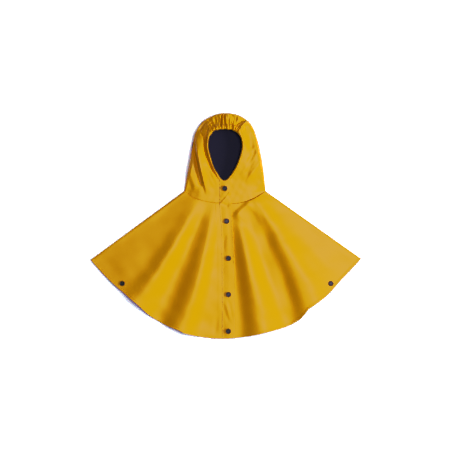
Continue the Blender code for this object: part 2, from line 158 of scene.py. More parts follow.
# Hood outline from the right neck corner over the crown to the left neck corner: x, y
HOOD_OUTLINE = (
    (-124.3, 106.1), (-114.3, 161.2), (-107.1, 198.2), (-102.0, 228.2), (-97.5, 250.0),
    (-92.5, 274.7), (-83.7, 293.0), (-71.7, 309.8), (-58.5, 321.0), (-30.3, 334.6),
    (-7.2, 338.9), (15.6, 338.0), (38.7, 332.9), (60.3, 320.6), (73.8, 308.3),
    (84.6, 290.0), (92.1, 268.4), (99.9, 240.8), (109.5, 193.1), (114.6, 157.7),
    (119.9, 105.3),
)
CROWN_SEAM_X = (-58.5, 60.3)
CROWN_WRAP = 18.0
ROUND_STEPS = 12
HOOD_COLUMNS = 70
UNDER_COLUMNS = 12
CHIN_STEPS = 45
# y on the outline, depth of the rounded side, half its height
HOOD_SIDE = (
    (104.0, 4.0, 2.7), (130.0, 8.0, 6.0), (165.0, 11.0, 9.5), (230.0, 13.0, 12.0),
    (300.0, 13.0, 12.0), (340.0, 14.0, 12.0),
)
# y, height of the hood's front over the surface, well inside its outline
HOOD_TOP = (
    (40.0, 10.5), (68.0, 11.5), (100.0, 13.0), (137.0, 16.0), (180.0, 24.0),
    (230.0, 30.0), (280.0, 34.0), (340.0, 34.0),
)
HOOD_RISE = 55.0
RELIEF_EDGE, RELIEF_FADE = 1.0, 8.0  # the relief begins and grows over these from the outline
CROWN_FROM, CROWN_OVER = 262.0, 40.0  # y where the wrinkles begin to grow, and over how far
HOOD_WRINKLES = ((0.28, 0.5, 21.0, 3), (0.25, 0.0, 60.0, 5))  # height, more at crown, length, seed
HOOD_PUCKERS = ((0.3, 2.1, 13.0, 8), (0.35, 1.0, 11.0, 17))  # height, squeeze in x, length, seed
SAG_PLACE = (-75.0, 292.0)
SAG_REACH = 62.0
# half width, depth, then the points of each crease pressed into the hood
HOOD_CREASES = (
    (5.0, 3.5, ((-62.0, 262.0), (-63.0, 232.0), (-56.0, 202.0), (-43.0, 175.0))),
    (6.0, 4.5, ((-98.0, 246.0), (-90.0, 200.0), (-83.5, 163.0), (-74.5, 128.0))),
    (10.0, 2.0, ((72.0, 262.0), (78.0, 215.0), (66.0, 165.0))),
)

# Folds that overlap in the hood, each a step up on the left of a path, seen along it, which is
# towards +X as these paths run down: width, rise, reach of the raised side, points
HOOD_STEPS = (
    (7.0, 11.0, 20.0, ((-96.3, 315.2), (-94.5, 279.2), (-91.5, 237.2), (-85.5, 204.2),
                       (-77.7, 168.2), (-68.1, 129.2), (-57.6, 87.2))),
    (12.0, 2.6, 18.0, ((-65.1, 228.2), (-56.1, 189.2), (-41.1, 150.2), (-20.1, 108.2))),
    (14.0, 2.2, 26.0, ((-117.6, 198.2), (-108.6, 150.2), (-98.1, 114.2), (-89.1, 90.2))),
    (2.6, 5.5, 16.0, ((72.9, 325.7), (50.4, 304.7), (27.9, 282.2))),
    (2.5, 2.4, 10.0, ((-65.7, 325.7), (-56.1, 304.7), (-48.6, 285.2))),
    (14.0, 2.0, 22.0, ((102.9, 246.2), (81.9, 207.2), (57.9, 174.2), (33.9, 138.2))),
    (10.0, 2.0, 18.0, ((108.9, 207.2), (86.4, 174.2), (68.4, 150.2), (54.9, 120.2))),
    (12.0, 1.5, 18.0, ((114.9, 156.2), (96.9, 126.2), (81.9, 96.2))),
    (8.0, 1.8, 14.0, ((36.9, 333.2), (32.4, 315.2), (30.9, 297.2))),
    (14.0, 2.0, 22.0, ((99.9, 207.2), (75.9, 174.2), (51.9, 135.2))),
    (11.0, 1.4, 18.0, ((90.9, 249.2), (72.9, 222.2), (60.9, 195.2))),
    (13.0, 1.7, 16.0, ((-68.1, 198.2), (-53.1, 153.2), (-35.1, 108.2))),
)
# Creases: half width, depth, points
HOOD_DENTS = (
    (18.0, 8.0, ((-80.1, 348.2), (-90.6, 306.2), (-95.7, 264.2), (-95.1, 204.2))),
    (2.6, 5.0, ((-102.3, 300.2), (-99.3, 264.2), (-96.3, 234.2), (-90.9, 204.2),
                (-82.5, 165.2), (-72.9, 129.2))),
    (2.0, 12.0, ((-5.7, 351.2), (-12.3, 327.2), (-14.1, 288.2))),
    (1.6, 8.0, ((-2.4, 346.7), (-3.9, 321.2), (2.7, 288.2))),
    (2.2, 2.2, ((-38.1, 342.2), (-32.1, 321.2), (-24.9, 300.2))),
    (2.4, 3.4, ((-66.6, 331.7), (-51.6, 318.8), (-38.1, 300.2))),
    (2.2, 2.6, ((-57.6, 331.7), (-44.1, 318.2), (-36.6, 295.7))),
    (2.4, 1.6, ((-28.5, 336.2), (-21.3, 321.2), (-21.9, 300.2))),
    (2.4, 1.0, ((13.5, 336.2), (8.1, 321.2), (9.9, 303.2))),
    (2.4, 2.2, ((54.9, 319.7), (38.4, 307.7), (18.9, 298.7))),
    (3.0, 2.8, ((-50.1, 318.2), (-68.1, 300.2), (-78.3, 279.2))),
    (2.4, 2.4, ((-78.6, 282.2), (-65.1, 264.2), (-57.6, 246.2))),
    (2.5, 1.2, ((26.4, 330.2), (42.9, 321.2), (57.9, 309.2))),
    (2.4, 9.0, ((-50.7, 300.2), (-59.4, 267.2), (-62.1, 240.2), (-58.5, 216.2), (-50.1, 192.2),
                (-38.1, 165.2), (-17.1, 129.2))),
    (1.4, 2.8, ((-62.1, 289.7), (-50.1, 283.7), (-38.1, 277.7))),
    (1.3, 3.4, ((-52.5, 308.6), (-43.5, 293.6), (-36.9, 279.8))),
    (1.2, 2.8, ((-39.3, 311.0), (-33.3, 296.6), (-29.7, 282.2))),
    (1.0, 1.4, ((-24.3, 309.2), (-22.5, 297.2), (-21.9, 285.2))),
    (1.0, 1.8, ((11.7, 309.2), (11.7, 297.2), (10.5, 285.2))),
    (1.3, 3.4, ((20.1, 313.7), (20.7, 295.7), (18.3, 279.2))),
    (1.3, 3.6, ((36.9, 308.6), (29.1, 292.4), (22.5, 277.4))),
    (1.3, 3.0, ((45.9, 298.4), (36.9, 287.0), (27.9, 275.0))),
)
# The same two lists for the cape
CAPE_STEPS = (
    (17.0, 5.0, 40.0, ((75.9, 81.2), (51.9, 60.2), (30.9, 40.7), (15.9, 24.2))),
    (34.0, 3.4, 60.0, ((72.9, 96.2), (80.4, 54.2), (90.9, 12.2), (108.9, -35.8))),
    (56.0, 3.5, 40.0, ((117.9, -29.8), (129.9, -71.8), (150.9, -185.8))),
)
CAPE_DENTS = (
    (7.0, 1.0, ((-12.0, -221.8), (0.0, -262.0), (15.9, -299.8))),
    (6.0, 0.8, ((6.0, -214.0), (14.1, -251.8), (21.9, -289.9))),
    (7.0, 0.8, ((-26.1, -265.9), (-30.0, -299.8), (-33.9, -331.9))),
    (6.0, 0.8, ((0.0, -19.9), (-6.0, -52.0), (-3.9, -83.8))),
)
# The same two lists for the placket
PLACKET_STEPS = (
    (6.0, 1.6, 9.0, ((15.9, 111.2), (3.9, 93.2), (-11.1, 75.2), (-24.6, 60.2))),
)
PLACKET_DENTS = (
    (6.5, 1.3, ((24.9, 105.2), (6.9, 90.2), (-15.6, 75.2))),
    (5.5, 1.2, ((8.7, 99.2), (15.9, 85.4), (24.9, 72.2))),
    (9.0, 0.9, ((-11.1, 76.7), (0.9, 67.7), (12.9, 61.7))),
    (5.0, 0.7, ((-20.1, 78.2), (-5.1, 64.7), (12.9, 54.2))),
)

# Face opening, clockwise from its lowest point: x, y
OPENING = (
    (-3.6, 136.7), (-13.8, 141.8), (-24.3, 157.7), (-35.1, 175.4), (-43.8, 201.8),
    (-51.5, 232.0), (-51.0, 256.0), (-45.0, 273.0), (-32.0, 285.0), (-5.7, 288.5),
    (20.0, 286.5), (36.0, 276.0), (45.5, 262.0), (48.6, 244.0), (47.0, 224.6),
    (39.0, 198.2), (30.3, 177.2), (17.7, 156.2), (7.2, 141.8),
)
CASING_SIDE_WIDTH = 6.0
CASING_TOP_WIDTH = 16.0
CASING_WIDENS = (258.0, 284.0)
CASING_CLOTH = 1.4
# share of the width from the face edge, height over the hood
CASING_PROFILE = (
    (0.0, -3.4), (0.05, -2.0), (0.12, -0.5), (0.22, 0.6), (0.38, 1.3), (0.55, 1.6),
    (0.72, 1.4), (0.86, 0.8), (0.95, 0.1), (1.0, -0.5),
)
CASING_COLUMNS = 30
CASING_RISE_LENGTH = 30.0
CASING_RIPPLE, CASING_RIPPLE_LENGTH, CASING_RIPPLE_SEED = 0.9, 15.0, 21
CASING_RIPPLE_OVER = 14.0  # the ripple grows over this height, from the crown's lower end
RING_NUDGE = 0.002  # share of the opening's length, to find its direction
RING_SIDE_STEPS, RING_TOP_STEPS = 110, 300
RIGHT_SEAM_SHARE, LEFT_SEAM_SHARE = 0.403, 0.59
BACK_SEAM_X = (-36.0, 34.0)

# Gathers on the elastic over the forehead
GATHER_COUNT = 13
GATHER_HEIGHT = 1.5
GATHER_X = (-49.0, 39.0)
GATHER_Y = 294.0
GATHER_REACH = 13.0
GATHER_EASE = 0.6  # share of their height that the puckers take the place of
GATHER_UNEVEN = ((0.011, 17), (0.007, 41))  # shift, turns
GATHER_ENDS = 8  # the gathers fade over one part in this many at each end

# Placket: y, x of the sewn edge, x of the free edge
PLACKET = (
    (140.0, -18.6, 14.6), (80.0, -18.3, 15.0), (36.0, -17.0, 16.5), (-8.0, -12.6, 20.7),
    (-95.0, -11.2, 25.0), (-180.0, -10.9, 28.0), (-345.0, -10.8, 31.5),
)
PLACKET_CLOTH = 1.75
PLACKET_EDGE = 0.3  # thickness at the sewn edge
PLACKET_CREST = 0.6  # share of the width where it is thickest
PLACKET_GAP = 0.25
SEWN_GAP = 0.3  # share of the gap at the sewn edge
GAP_FULL = 0.3  # share of the width where the gap is full
SEWN_PULL, FREE_PULL = 0.04, 0.25  # how far the stitches press each edge down
PLACKET_PULL_WIDTH = 0.9
PLACKET_TOP_DROP = 0.3  # below the face opening
LOW_FACE = 0.12  # share of the opening to each side of its lowest point
STITCHED_ROWS = slice(12, -8)  # rows of the placket between its turned ends
FACING = 12.5  # width of the facing that shows through beside the placket
FACING_LIFT = 0.3
FACING_EDGE = 2.0  # width of the step at its outer edge
FACING_UNDER, FACING_FADE = 4.0, 3.0  # how far it runs under the placket, and how it ends
PLACKET_ROWS = 300
PLACKET_COLUMNS = 44
PLACKET_HEM_ANGLE = 8  # the hem is followed this far to each side for its lower end

# Stitches
EDGE_STITCH = 2.6  # from each edge of the placket
NECK_STITCH = 2.4  # from the neck seam
STITCH_CLEAR = 2  # distance that a row keeps from the placket and its facing
STITCHED_FROM = 2.0  # angle at which the rows of the hem and the neck begin
STITCH_PITCH = 3.2
STITCH_LENGTH = 2.6
STITCH_SIDES = 5
STITCH_FULL = (0.2, 0.8)  # shares of a stitch's length between which it is full
THREAD_RADIUS = 0.24
THREAD_LIFT = 0.08
SEAM_POINTS = 400

# Jersey
RIB_PITCH = 1.3
BAND_WIDTH = 0.314  # metres from band to band in the wave pattern at a scale of 1

# Snap caps
SNAP_RADIUS = 7.5
SNAP_SIDES, SNAP_RINGS = 64, 34
SNAP_SINK = 0.1
# radius, height
SNAP_PROFILE = (
    (0.0, 2.0), (2.2, 1.98), (4.2, 1.95), (4.8, 2.1), (5.3, 2.55), (6.0, 2.7), (6.8, 2.45),
    (7.35, 1.8), (7.5, 1.0), (7.4, 0.3), (7.1, 0.0), (6.0, -0.05), (3.0, -0.05), (0.0, -0.05),
)
FRONT_SNAPS = ((-2.7, 112.7), (2.7, 14.6), (8.4, -96.8), (8.4, -205.7), (7.8, -316.1))
SIDE_SNAPS = {"right": (-310.2, -172.4), "left": (315.3, -172.4)}


# Curves and heights

def smooth(share):
    share = np.clip(share, 0.0, 1.0)
    return share * share * (3.0 - 2.0 * share)


def level(knots, values, x):
    """A curve through the knots that never swings past them; each x may have its own knots."""
    knots, values, x = np.asarray(knots, float), np.asarray(values, float), np.asarray(x, float)
    steps = np.diff(knots, axis=-1)
    slopes = np.diff(values) / steps
    product = slopes[..., :-1] * slopes[..., 1:]
    total = slopes[..., :-1] + slopes[..., 1:]
    inner = np.where(product > 0, 2 * product / np.where(total == 0, 1, total), 0.0)
    tangents = np.concatenate([slopes[..., :1], inner, slopes[..., -1:]], axis=-1)
    x = np.clip(x, knots[..., 0], knots[..., -1])
    i = np.clip((knots <= x[..., None]).sum(axis=-1) - 1, 0, knots.shape[-1] - 2)
    if knots.ndim > 1:
        def pick(table, k):
            return np.take_along_axis(table, k[..., None], -1)[..., 0]
    else:
        def pick(table, k):
            return table[k]
    step = pick(steps, i)
    t = (x - pick(knots, i)) / step
    start = values[i] * (1 + 2 * t) + pick(tangents, i) * step * t
    end = values[i + 1] * (3 - 2 * t) + pick(tangents, i + 1) * step * (t - 1)
    return start * (1 - t) ** 2 + end * t ** 2


def spline(points, shares, closed=False):
    """Points at the given shares of the length of a smooth curve."""
    points = np.array(points)
    if closed:
        ends = points[-1:], points[:2]
    else:
        ends = 2 * points[:1] - points[1:2], 2 * points[-1:] - points[-2:-1]
    p = np.concatenate([ends[0], points, ends[1]])
    t = np.linspace(0, 1, SPAN_STEPS, endpoint=False)[:, None]
    spans = []
    for a, b, c, d in zip(p, p[1:], p[2:], p[3:]):
        spans.append(b + 0.5 * t * (c - a + t * (2 * a - 5 * b + 4 * c - d
                                                 + t * (3 * (b - c) + d - a))))
    fine = np.concatenate(spans + [p[-2:-1]])
    length = np.concatenate([[0], np.cumsum(np.linalg.norm(np.diff(fine, axis=0), axis=1))])
    at = np.asarray(shares) * length[-1]
    return np.stack([np.interp(at, length, fine[:, k]) for k in (0, 1)], axis=-1)


def nearest(x, y, path):
    """Distance from each point to a path, and the y of the place on it that is nearest."""
    x, y, path = np.asarray(x)[..., None], np.asarray(y)[..., None], np.asarray(path)
    ax, ay = path[:-1].T
    ux, uy = np.diff(path, axis=0).T
    along = np.clip(((x - ax) * ux + (y - ay) * uy) / (ux * ux + uy * uy), 0, 1)
    foot_y = ay + along * uy
    distance = np.hypot(x - ax - along * ux, y - foot_y)
    best = np.argmin(distance, axis=-1)[..., None]
    return (np.take_along_axis(distance, best, -1)[..., 0],
            np.take_along_axis(foot_y, best, -1)[..., 0])


def column(table, k):
    return [row[k] for row in table]


OUTLINE_PATH = spline(HOOD_OUTLINE, np.linspace(0, 1, OUTLINE_POINTS))


def rounded(distance, radius):
    """0 at an edge, rising as a quarter circle to 1 at the given distance from it."""
    return np.sqrt(1 - (1 - np.clip(distance / radius, 0, 1)) ** 2)


def waves(x, y, length, seed):
    """Soft uneven swells from -1 to 1, about the given length across."""
    rng = np.random.default_rng(seed)
    total = 0.0
    for _ in range(WAVE_COUNT):
        turn = rng.uniform(0, 2 * math.pi)
        stretch = rng.uniform(0.7, 1.5)
        shift = rng.uniform(0, 7)
        along = (x * math.cos(turn) + y * math.sin(turn)) * 2 * math.pi / length
        total = total + np.sin(along * stretch + shift)
    return total / WAVE_SCALE


def beside(x, y, path):
    """Distance to the left of a path, seen along it, and the share of the path passed."""
    x, y, path = np.asarray(x)[..., None], np.asarray(y)[..., None], np.asarray(path)
    ax, ay = path[:-1].T
    ux, uy = np.diff(path, axis=0).T
    length = np.hypot(ux, uy)
    start = np.concatenate([[0], np.cumsum(length)])
    along = np.clip(((x - ax) * ux + (y - ay) * uy) / length ** 2, 0, 1)
    dx, dy = x - ax - along * ux, y - ay - along * uy
    distance = np.hypot(dx, dy)
    best = np.argmin(distance, axis=-1)[..., None]
    side = np.sign(ux * dy - uy * dx)
    passed = (start[:-1] + along * length) / start[-1]

    def pick(table):
        return np.take_along_axis(np.broadcast_to(table, distance.shape), best, -1)[..., 0]

    return pick(distance) * pick(side), pick(passed)


def smooth_path(points):
    return spline(points, np.linspace(0, 1, PATH_POINTS))


def relief(x, y, steps, dents):
    """Height of the folds that overlap and of the creases, fading at the ends of each."""
    x, y = np.asarray(x, float), np.asarray(y, float)
    total = np.zeros(x.shape)
    for width, rise, reach, points in steps:
        distance, passed = beside(x, y, smooth_path(points))
        ends = smooth(passed / STEP_FADES[0]) * smooth((1 - passed) / STEP_FADES[1])
        raised_side = smooth(distance / width + 0.5)
        raised_side = raised_side * np.exp(-(np.maximum(distance, 0) / reach) ** 2)
        total = total + rise * ends * raised_side
    for half_width, depth, points in dents:
        distance, passed = beside(x, y, smooth_path(points))
        ends = smooth(passed / CREASE_FADE) * smooth((1 - passed) / CREASE_FADE)
        total = total - depth * ends * np.exp(-(distance / half_width) ** 2)
    return total


def gathers(x, y):
    """Small waves across the elastic, fading away from it."""
    share = (x - GATHER_X[0]) / (GATHER_X[1] - GATHER_X[0])
    window = smooth(share * GATHER_ENDS) * smooth((1 - share) * GATHER_ENDS)
    reach = np.exp(-((y - GATHER_Y) / GATHER_REACH) ** 2)
    uneven = share
    for shift, turns in GATHER_UNEVEN:
        uneven = uneven + shift * np.sin(turns * share)
    return GATHER_HEIGHT * window * reach * np.cos(2 * math.pi * GATHER_COUNT * uneven)


def hood_height(x, y, sag=0.0):
    distance, side_y = nearest(x, y, OUTLINE_PATH)
    depth = level(column(HOOD_SIDE, 0), column(HOOD_SIDE, 1), side_y)
    half = level(column(HOOD_SIDE, 0), column(HOOD_SIDE, 2), side_y)
    top = level(column(HOOD_TOP, 0), column(HOOD_TOP, 1), y)
    inside = smooth((distance - depth) / (HOOD_RISE - depth))
    z = half * (1 + rounded(distance, depth)) + (top - 2 * half) * inside
    straight = half + (top - half) * np.clip(distance / HOOD_RISE, 0, 1)
    z = z - sag * np.maximum(z - straight, 0) + gathers(x, y)
    for half_width, press, path in HOOD_CREASES:
        z = z - press * np.exp(-(nearest(x, y, path)[0] / half_width) ** 2)
    return z


def hood_surface(x, y):
    """The hood's front with its overlapping folds, wrinkles and puckers."""
    distance = nearest(x, y, OUTLINE_PATH)[0]
    inside = smooth((distance - RELIEF_EDGE) / RELIEF_FADE)
    crown = smooth((np.asarray(y) - CROWN_FROM) / CROWN_OVER)
    small = sum((height + more * crown) * waves(x, y, length, seed)
                for height, more, length, seed in HOOD_WRINKLES)
    pucker = crown * sum(height * waves(x * squeeze, y, length, seed)
                         for height, squeeze, length, seed in HOOD_PUCKERS)
    sag = np.exp(-((x - SAG_PLACE[0]) ** 2 + (y - SAG_PLACE[1]) ** 2) / SAG_REACH ** 2)
    return hood_height(x, y, sag) - GATHER_EASE * gathers(x, y) + inside * (
        relief(x, y, HOOD_STEPS, HOOD_DENTS) + small + pucker)


def polar(angle, radius):
    angle = np.radians(angle)
    return APEX[0] + radius * np.sin(angle), APEX[1] - radius * np.cos(angle)


def angle_and_radius(x, y):
    return (np.degrees(np.arctan2(x - APEX[0], APEX[1] - y)),
            np.hypot(x - APEX[0], y - APEX[1]))


def neck_radius(angle):
    return level(column(NECK, 0), column(NECK, 1), angle)


def hem_radius(angle):
    return level(column(HEM, 0), column(HEM, 1), angle)


def fold_angles(share):
    """Angle of each line of the fold table, a share of the way from neck to hem."""
    neck, hem, bow = (np.array(column(FOLDS, k)) for k in range(3))
    share = np.asarray(share)[..., None]
    return neck + (hem - neck) * share + bow * 4 * share * (1 - share)


def cape_height(x, y):
    angle, radius = angle_and_radius(x, y)
    neck, hem = neck_radius(angle), hem_radius(angle)
    share = np.clip((radius - neck) / (hem - neck), 0, 1)
    at_neck = hood_height(*polar(angle, neck))
    folded = 1 - (1 - np.clip(share / FOLD_FULL, 0, 1)) ** 2
    lines, heights = fold_angles(share), column(FOLDS, 3)
    sideways = [level(lines, heights, angle + np.degrees(step / radius)) for step in FOLD_SOFTEN]
    folds = sum(sideways) / len(sideways)
    z = at_neck + (folds - at_neck) * folded
    to_shoulder = np.minimum(angle - RIGHT_SHOULDER, LEFT_SHOULDER - angle)
    edge = rounded(radius * np.radians(np.clip(to_shoulder, 0, 90)), SHOULDER_ROUND)
    return FRONT_LOW + (z - FRONT_LOW) * edge


def cape_surface(x, y):
    """The cape with its neck wrinkles, soft swells and turned hem."""
    angle, radius = angle_and_radius(x, y)
    neck, hem = neck_radius(angle), hem_radius(angle)
    to_shoulder = radius * np.radians(np.minimum(angle - RIGHT_SHOULDER, LEFT_SHOULDER - angle))
    inside = smooth(to_shoulder / SHOULDER_FADE)
    below_neck = smooth((radius - neck) / NECK_FADE)
    swells = sum(height * waves(x, y, length, seed) for height, length, seed in CAPE_SWELLS)
    z = cape_height(x, y) + inside * (relief(x, y, CAPE_STEPS, CAPE_DENTS) * below_neck + swells)
    z = z - NECK_SEAM_DEPTH * np.exp(-((radius - neck) / NECK_SEAM_WIDTH) ** 2)
    to_hem = hem - radius
    z = z + HEM_LIFT * smooth((HEM_DEPTH - to_hem) / HEM_STEP + 0.5)
    z = z - STITCH_PULL * np.exp(-((to_hem - STITCH_INSET) / STITCH_PULL_WIDTH) ** 2)
    sewn_x = level(column(PLACKET, 0)[::-1], column(PLACKET, 1)[::-1], y)
    facing = smooth((x - sewn_x + FACING) / FACING_EDGE + 0.5)
    facing = facing * smooth((sewn_x + FACING_UNDER - x) / FACING_FADE)
    roll = smooth(to_shoulder / SHOULDER_ROLL_RISE)
    z = z + SHOULDER_ROLL * roll * np.exp(-(to_shoulder / SHOULDER_ROLL_REACH) ** 2)
    return z + FACING_LIFT * facing * below_neck


def front_height(x, y):
    """Height of whatever lies under the placket: the hood above the neck, the cape below."""
    angle, radius = angle_and_radius(x, y)
    return np.where(radius > neck_radius(angle), cape_surface(x, y), hood_surface(x, y))


# Meshes

def raised(plan, height):
    """Points of a plan grid, lifted to the height that a function gives for them."""
    return np.concatenate([plan, height(plan[..., 0], plan[..., 1])[..., None]], axis=-1)


def grid_normals(grid, ring):
    padded = np.concatenate([grid[-1:], grid, grid[:1]]) if ring else grid
    down = np.gradient(padded, axis=0)
    across = np.gradient(padded, axis=1)
    normal = np.cross(down, across)
    normal /= np.maximum(np.linalg.norm(normal, axis=-1, keepdims=True), 1e-9)
    return normal[1:-1] if ring else normal


def stitches(path):
    """Points and faces of the stitches along a path of points, each a short closed capsule."""
    steps = np.concatenate([[0], np.cumsum(np.linalg.norm(np.diff(path, axis=0), axis=1))])
    starts = np.arange(STITCH_PITCH / 2, steps[-1] - STITCH_PITCH, STITCH_PITCH)

    def along(distance):
        return np.stack([np.interp(distance, steps, path[:, k]) for k in range(3)], axis=-1)

    a, b = along(starts), along(starts + STITCH_LENGTH)
    ahead = (b - a) / np.linalg.norm(b - a, axis=1)[:, None]
    side = np.cross(ahead, (0.0, 0.0, 1.0))
    side /= np.linalg.norm(side, axis=1)[:, None]
    up = np.cross(side, ahead)
    turns = np.arange(STITCH_SIDES) * 2 * math.pi / STITCH_SIDES
    rings = []
    for share in STITCH_FULL:
        centre = a + (b - a) * share
        rings += [centre + THREAD_RADIUS * (math.cos(t) * side + math.sin(t) * up) for t in turns]
    points = np.stack([a - up * THREAD_RADIUS, *rings, b - up * THREAD_RADIUS], axis=1)
    n, last = STITCH_SIDES, 2 * STITCH_SIDES + 1
    faces = []
    for k in range(n):
        m = (k + 1) % n
        faces += [(0, 1 + k, 1 + m), (1 + k, 1 + n + k, 1 + n + m, 1 + m),
                  (1 + n + k, last, 1 + n + m)]
    each = last + 1
    faces = [tuple(i + each * j for i in face) for j in range(len(starts)) for face in faces]
    return points.reshape(-1, 3), faces


def shell(name, grid, thickness, finishes, ring=False, seams=()):
    """A thin closed sheet: outer side through the grid, then the inner side and a rounded rim.

    The thickness is one number, or one for each point of the grid. The seams are paths of
    points, and each gets a row of stitches.
    """
    thickness = np.broadcast_to(thickness, grid.shape[:2])[..., None]
    rows, columns = grid.shape[:2]
    count = rows * columns
    normal = grid_normals(grid, ring)
    index = np.arange(count).reshape(rows, columns)
    row_next = np.roll(index, -1, axis=0) if ring else index[1:]
    row_here = index if ring else index[:-1]
    outer = np.stack([row_here[:, :-1], row_next[:, :-1], row_next[:, 1:], row_here[:, 1:]], -1)
    outer = outer.reshape(-1, 4)
    if ring:
        loops = [index[:, 0], index[::-1, -1]]
    else:
        loops = [np.concatenate([index[:, 0], index[-1, 1:], index[-2::-1, -1],
                                 index[0, -2:0:-1]])]
    points = [grid.reshape(-1, 3), (grid - normal * thickness).reshape(-1, 3)]
    thickness = thickness.reshape(-1, 1)
    rims = []
    start = 2 * count
    for loop in loops:
        edge = points[0][loop]
        ahead = np.roll(edge, -1, axis=0) - np.roll(edge, 1, axis=0)
        flat = normal.reshape(-1, 3)[loop]
        away = np.cross(ahead, flat)
        away /= np.maximum(np.linalg.norm(away, axis=-1, keepdims=True), 1e-9)
        middle = edge - flat * thickness[loop] / 2 + away * thickness[loop] * RIM_BULGE
        points.append(middle)
        here = start + np.arange(len(loop))
        there = np.roll(here, -1)
        after = np.roll(loop, -1)
        rims.append(np.stack([after, loop, here, there], -1))
        rims.append(np.stack([there, here, loop + count, after + count], -1))
        start += len(loop)
    faces = np.concatenate([outer, outer[:, ::-1] + count] + rims).tolist()
    cloth_faces = len(faces)
    for seam in seams:
        thread, thread_faces = stitches(seam)
        points.append(thread)
        faces += [tuple(i + start for i in face) for face in thread_faces]
        start += len(thread)
    mesh = bpy.data.meshes.new(name)
    mesh.from_pydata(np.concatenate(points) * MM, [], faces)
    for finish in finishes:
        mesh.materials.append(finish)
    sides = np.zeros(len(faces), dtype=np.int32)
    sides[len(outer):2 * len(outer)] = len(finishes) - 1
    sides[cloth_faces:] = 1
    mesh.polygons.foreach_set("material_index", sides)
    mesh.shade_smooth()
    mesh.validate()
    piece = bpy.data.objects.new(name, mesh)
    bpy.context.scene.collection.objects.link(piece)
    return piece


def front(name, side, finishes):
    shares = np.concatenate([np.linspace(0, HEM_SHARE, FRONT_ROWS, endpoint=False),
                             np.linspace(HEM_SHARE, 1, HEM_ROWS)])
    lines = fold_angles(shares)
    lines = lines[:, (lines[0] - CENTRE_FRONT) * side >= 0]
    stations = np.arange(lines.shape[1])
    between = np.linspace(0, stations[-1], stations[-1] * FOLD_STEPS + 1)
    near_shoulder = np.linspace(0, 1, FOLD_STEPS, endpoint=False) ** SHOULDER_CROWDING
    if side < 0:
        between[:FOLD_STEPS] = near_shoulder
    else:
        between[-FOLD_STEPS:] = stations[-1] - near_shoulder[::-1]
    angle = np.array([np.interp(between, stations, row) for row in lines])
    neck = neck_radius(angle) + SEAM_HALF
    radius = neck + (hem_radius(angle) - neck) * shares[:, None]
    plan = np.stack(polar(angle, radius), axis=-1)
    plan[:, 0 if side > 0 else -1, 0] += side * SEAM_HALF
    ends = sorted((side * STITCHED_FROM, angle[-1, 0 if side < 0 else -1]))
    turns = np.linspace(*ends, SEAM_POINTS)
    seams = []
    for radius in (hem_radius(turns) - STITCH_INSET, neck_radius(turns) + NECK_STITCH):
        x, y = polar(turns, radius)
        left, right = placket_edges(y)
        shown = x < left - FACING - STITCH_CLEAR if side < 0 else x > right + STITCH_CLEAR
        row = raised(np.stack([x, y], axis=-1)[shown], cape_surface)
        seams.append(row + (0, 0, THREAD_LIFT))
    return shell(name, raised(plan, cape_surface), CLOTH, finishes, seams=seams)


def placket_edges(y):
    ys = column(PLACKET, 0)[::-1]
    return [level(ys, column(PLACKET, k)[::-1], y) for k in (1, 2)]


def back(name, finishes):
    """The flat back: its outer side lies on the surface, and its navy side faces up."""
    angle = np.linspace(RIGHT_SHOULDER, LEFT_SHOULDER, BACK_COLUMNS)
    neck = (APEX[1] - BACK_NECK_Y + 2 * SEAM_HALF) / np.cos(np.radians(angle))
    shares = np.linspace(0, 1, BACK_ROWS)[:, None]
    radius = neck + (hem_radius(angle) - BACK_HEM_INSET - neck) * shares
    plan = np.stack(polar(np.broadcast_to(angle, radius.shape), radius), axis=-1)
    grid = raised(plan, lambda x, y: np.zeros_like(x))
    return shell(name, grid[:, ::-1], CLOTH, finishes)


def wrapped(inner, outline, back_edge, neck_side=None):
    """Grid of a hood piece, each row from its front edge over the outline to its back edge."""
    rows = []
    turns = np.linspace(0, math.pi / 2, ROUND_STEPS + 1)[1:]
    for v, e, o, b in zip(np.linspace(0, 1, len(inner)), inner, outline, back_edge):
        depth = level(column(HOOD_SIDE, 0), column(HOOD_SIDE, 1), o[1])
        half = level(column(HOOD_SIDE, 0), column(HOOD_SIDE, 2), o[1])
        width = np.linalg.norm(e - o)
        round_steps = depth * (1 - np.cos(turns))
        flat_steps = np.linspace(depth, width, HOOD_COLUMNS + 1)[1:]
        u = np.concatenate([[0.0], round_steps, flat_steps])[::-1, None] / width
        plan = o + (e - o) * u
        if neck_side is not None:
            plan += (1 - v) * (neck_side(u[:, 0]) - outline[0] - (inner[0] - outline[0]) * u)
        front_part = raised(plan, hood_surface)
        front_part[-1, 2] = half
        inward = b - o
        reach = np.linalg.norm(inward)
        inward /= reach
        steps = np.concatenate([round_steps, np.linspace(depth, reach, UNDER_COLUMNS + 1)[1:]])
        under = np.concatenate([o + inward * steps[:, None],
                                (half * (1 - rounded(steps, depth)))[:, None]], axis=-1)
        rows.append(np.concatenate([front_part, under]))
    return np.array(rows)


def outline_share(x):
    return np.interp(x, OUTLINE_PATH[:, 0], np.linspace(0, 1, len(OUTLINE_PATH)))


def ring_shares():
    side = np.linspace(0, RIGHT_SEAM_SHARE, RING_SIDE_STEPS, endpoint=False)
    top = np.linspace(RIGHT_SEAM_SHARE, LEFT_SEAM_SHARE, RING_TOP_STEPS, endpoint=False)
    other = np.linspace(LEFT_SEAM_SHARE, 1, RING_SIDE_STEPS + 1)
    return np.concatenate([side, top, other])


